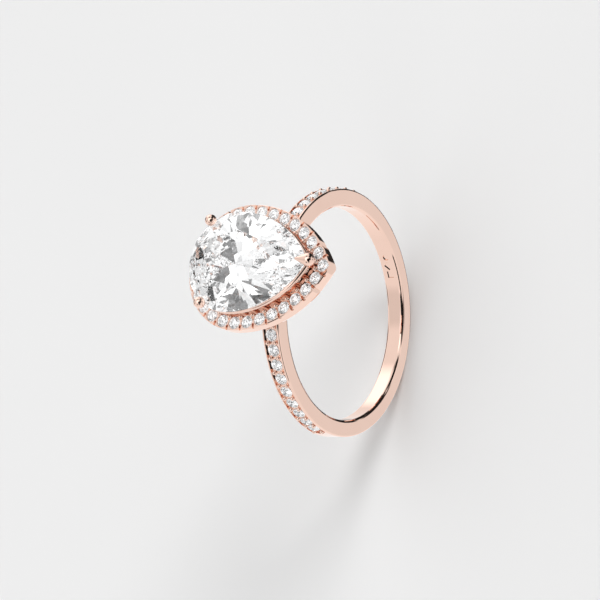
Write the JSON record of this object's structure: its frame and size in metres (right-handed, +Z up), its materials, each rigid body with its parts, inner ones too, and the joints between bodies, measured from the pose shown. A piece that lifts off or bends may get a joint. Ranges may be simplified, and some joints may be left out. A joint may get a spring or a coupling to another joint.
{
  "type": "engagement ring",
  "caption": "Slim finger ring with a raised pear-shaped centre stone in claws, a small-stone halo round it and stone-set shoulders.",
  "frame": {"origin": "centre of the finger hole, at the middle of the band's width", "axes": "+Z up through the head, Y along the finger hole's axis with the pear's tip towards -Y, +X across the ring"},
  "size_m": [0.0204, 0.0129, 0.0265],
  "materials": {
    "rose_gold": "polished",
    "clear_stone": "faceted and polished"
  },
  "bodies": {
    "root": {"shank": "rose_gold", "head_saddle": "rose_gold", "gallery_rail": "rose_gold", "stone_collar": "rose_gold", "halo_frame": "rose_gold", "claw_left": "rose_gold", "claw_right": "rose_gold", "claw_tip": "rose_gold", "centre_stone": "clear_stone", "halo_stone_01": "clear_stone", "halo_stone_02": "clear_stone", "halo_stone_03": "clear_stone", "halo_stone_04": "clear_stone", "halo_stone_05": "clear_stone", "halo_stone_06": "clear_stone", "halo_stone_07": "clear_stone", "halo_stone_08": "clear_stone", "halo_stone_09": "clear_stone", "halo_stone_10": "clear_stone", "halo_stone_11": "clear_stone", "halo_stone_12": "clear_stone", "halo_stone_13": "clear_stone", "halo_stone_14": "clear_stone", "halo_stone_15": "clear_stone", "halo_stone_16": "clear_stone", "halo_stone_17": "clear_stone", "halo_stone_18": "clear_stone", "halo_stone_19": "clear_stone", "halo_stone_20": "clear_stone", "halo_stone_21": "clear_stone", "halo_stone_22": "clear_stone", "halo_stone_23": "clear_stone", "halo_stone_24": "clear_stone", "halo_stone_25": "clear_stone", "halo_stone_26": "clear_stone", "halo_stone_27": "clear_stone", "halo_stone_28": "clear_stone", "left_stone_01": "clear_stone", "left_stone_02": "clear_stone", "left_stone_03": "clear_stone", "left_stone_04": "clear_stone", "left_stone_05": "clear_stone", "left_stone_06": "clear_stone", "left_stone_07": "clear_stone", "left_stone_08": "clear_stone", "left_stone_09": "clear_stone", "left_stone_10": "clear_stone", "right_stone_01": "clear_stone", "right_stone_02": "clear_stone", "right_stone_03": "clear_stone", "right_stone_04": "clear_stone", "right_stone_05": "clear_stone", "right_stone_06": "clear_stone", "right_stone_07": "clear_stone", "right_stone_08": "clear_stone", "right_stone_09": "clear_stone", "right_stone_10": "clear_stone"}
  },
  "joints": []
}
